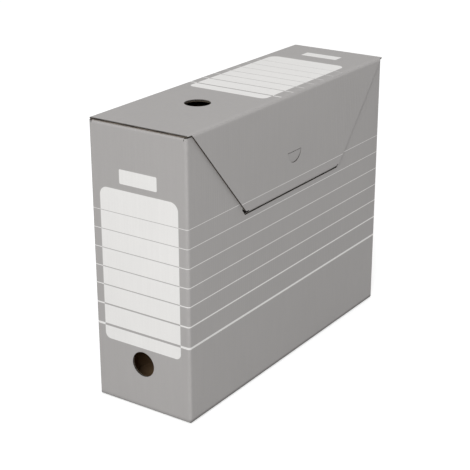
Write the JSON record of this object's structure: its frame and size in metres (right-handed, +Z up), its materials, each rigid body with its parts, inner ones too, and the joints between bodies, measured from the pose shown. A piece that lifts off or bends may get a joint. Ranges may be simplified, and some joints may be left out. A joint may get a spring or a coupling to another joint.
{
  "type": "box file",
  "caption": "Upright lidded box file folded from printed fluted board, with a tuck-in closing flap, a thumb tab and finger holes, for storing filed papers.",
  "frame": {"origin": "middle of the box's footprint on the surface it stands on, outer flap included", "axes": "+Z up, -Y towards the spine with the label, +X towards the side with the closing flap, the long side along Y"},
  "size_m": [0.1052, 0.33, 0.2634],
  "materials": {
    "printed_board": "matt grey print on white-lined fluted board, brown kraft inside",
    "printed_lid": "matt grey print on white-lined fluted board, brown kraft inside",
    "printed_flap": "matt grey print on white-lined fluted board, brown kraft inside",
    "printed_tab": "matt grey print on white-lined fluted board, brown kraft inside"
  },
  "bodies": {
    "carton": {"carton": "printed_board"},
    "lid": {"lid": "printed_lid"},
    "closing_flap": {"closing_flap": "printed_flap"},
    "thumb_tab": {"thumb_tab": "printed_tab"}
  },
  "joints": [
    {"name": "lid_hinge", "type": "hinge", "parent": "carton", "child": "lid", "pos_m": [-0.05184, 0, 0.26264], "axis": [0, -1, 0], "range_deg": [0, 175]},
    {"name": "flap_hinge", "type": "hinge", "parent": "lid", "child": "closing_flap", "pos_m": [0.05184, 0, 0.26264], "axis": [0, -1, 0], "range_deg": [0, 175]},
    {"name": "tab_hinge", "type": "hinge", "parent": "closing_flap", "child": "thumb_tab", "pos_m": [0.0508, 0, 0.209], "axis": [0, 1, 0], "range_deg": [-5, 45]}
  ]
}
